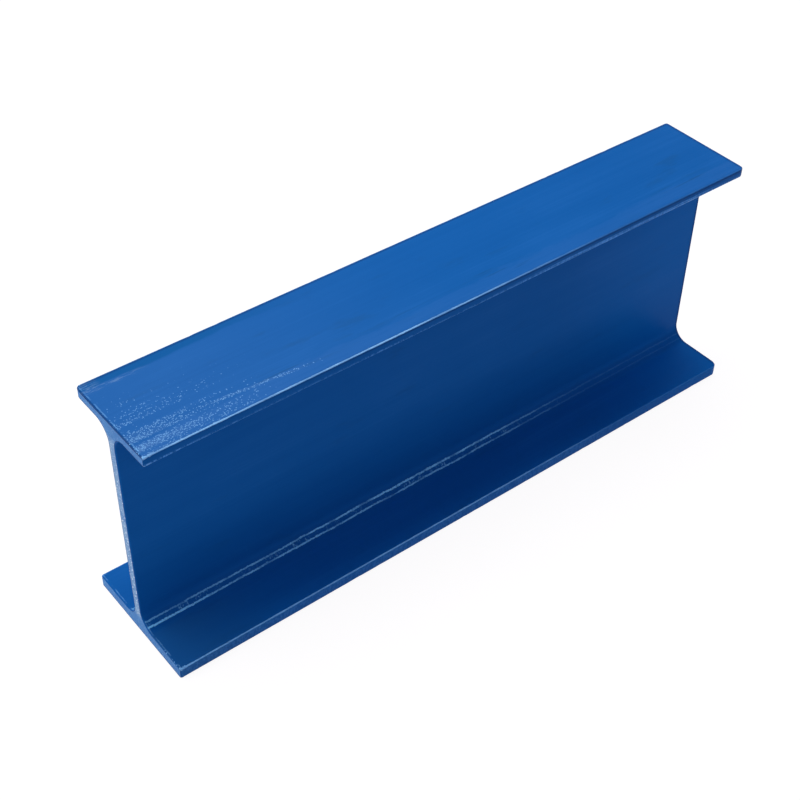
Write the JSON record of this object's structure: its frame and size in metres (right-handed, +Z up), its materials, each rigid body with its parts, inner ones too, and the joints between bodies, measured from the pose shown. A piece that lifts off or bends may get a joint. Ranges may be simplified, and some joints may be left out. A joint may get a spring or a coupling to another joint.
{
  "type": "fiberglass i-beam",
  "caption": "Short sawn length of blue pultruded fiberglass I-beam with a thin web, filleted roots and a lower flange wider and thicker than the upper, used as a light structural member.",
  "frame": {"origin": "centre of the lower flange's underside, which lies on the floor", "axes": "+X along the beam's length, +Y across the flanges, +Z up the web from the wide lower flange to the narrow upper one"},
  "size_m": [0.4064, 0.0826, 0.1524],
  "materials": {
    "blue_fiberglass": "satin"
  },
  "bodies": {
    "root": {"i_beam": "blue_fiberglass"}
  },
  "joints": []
}
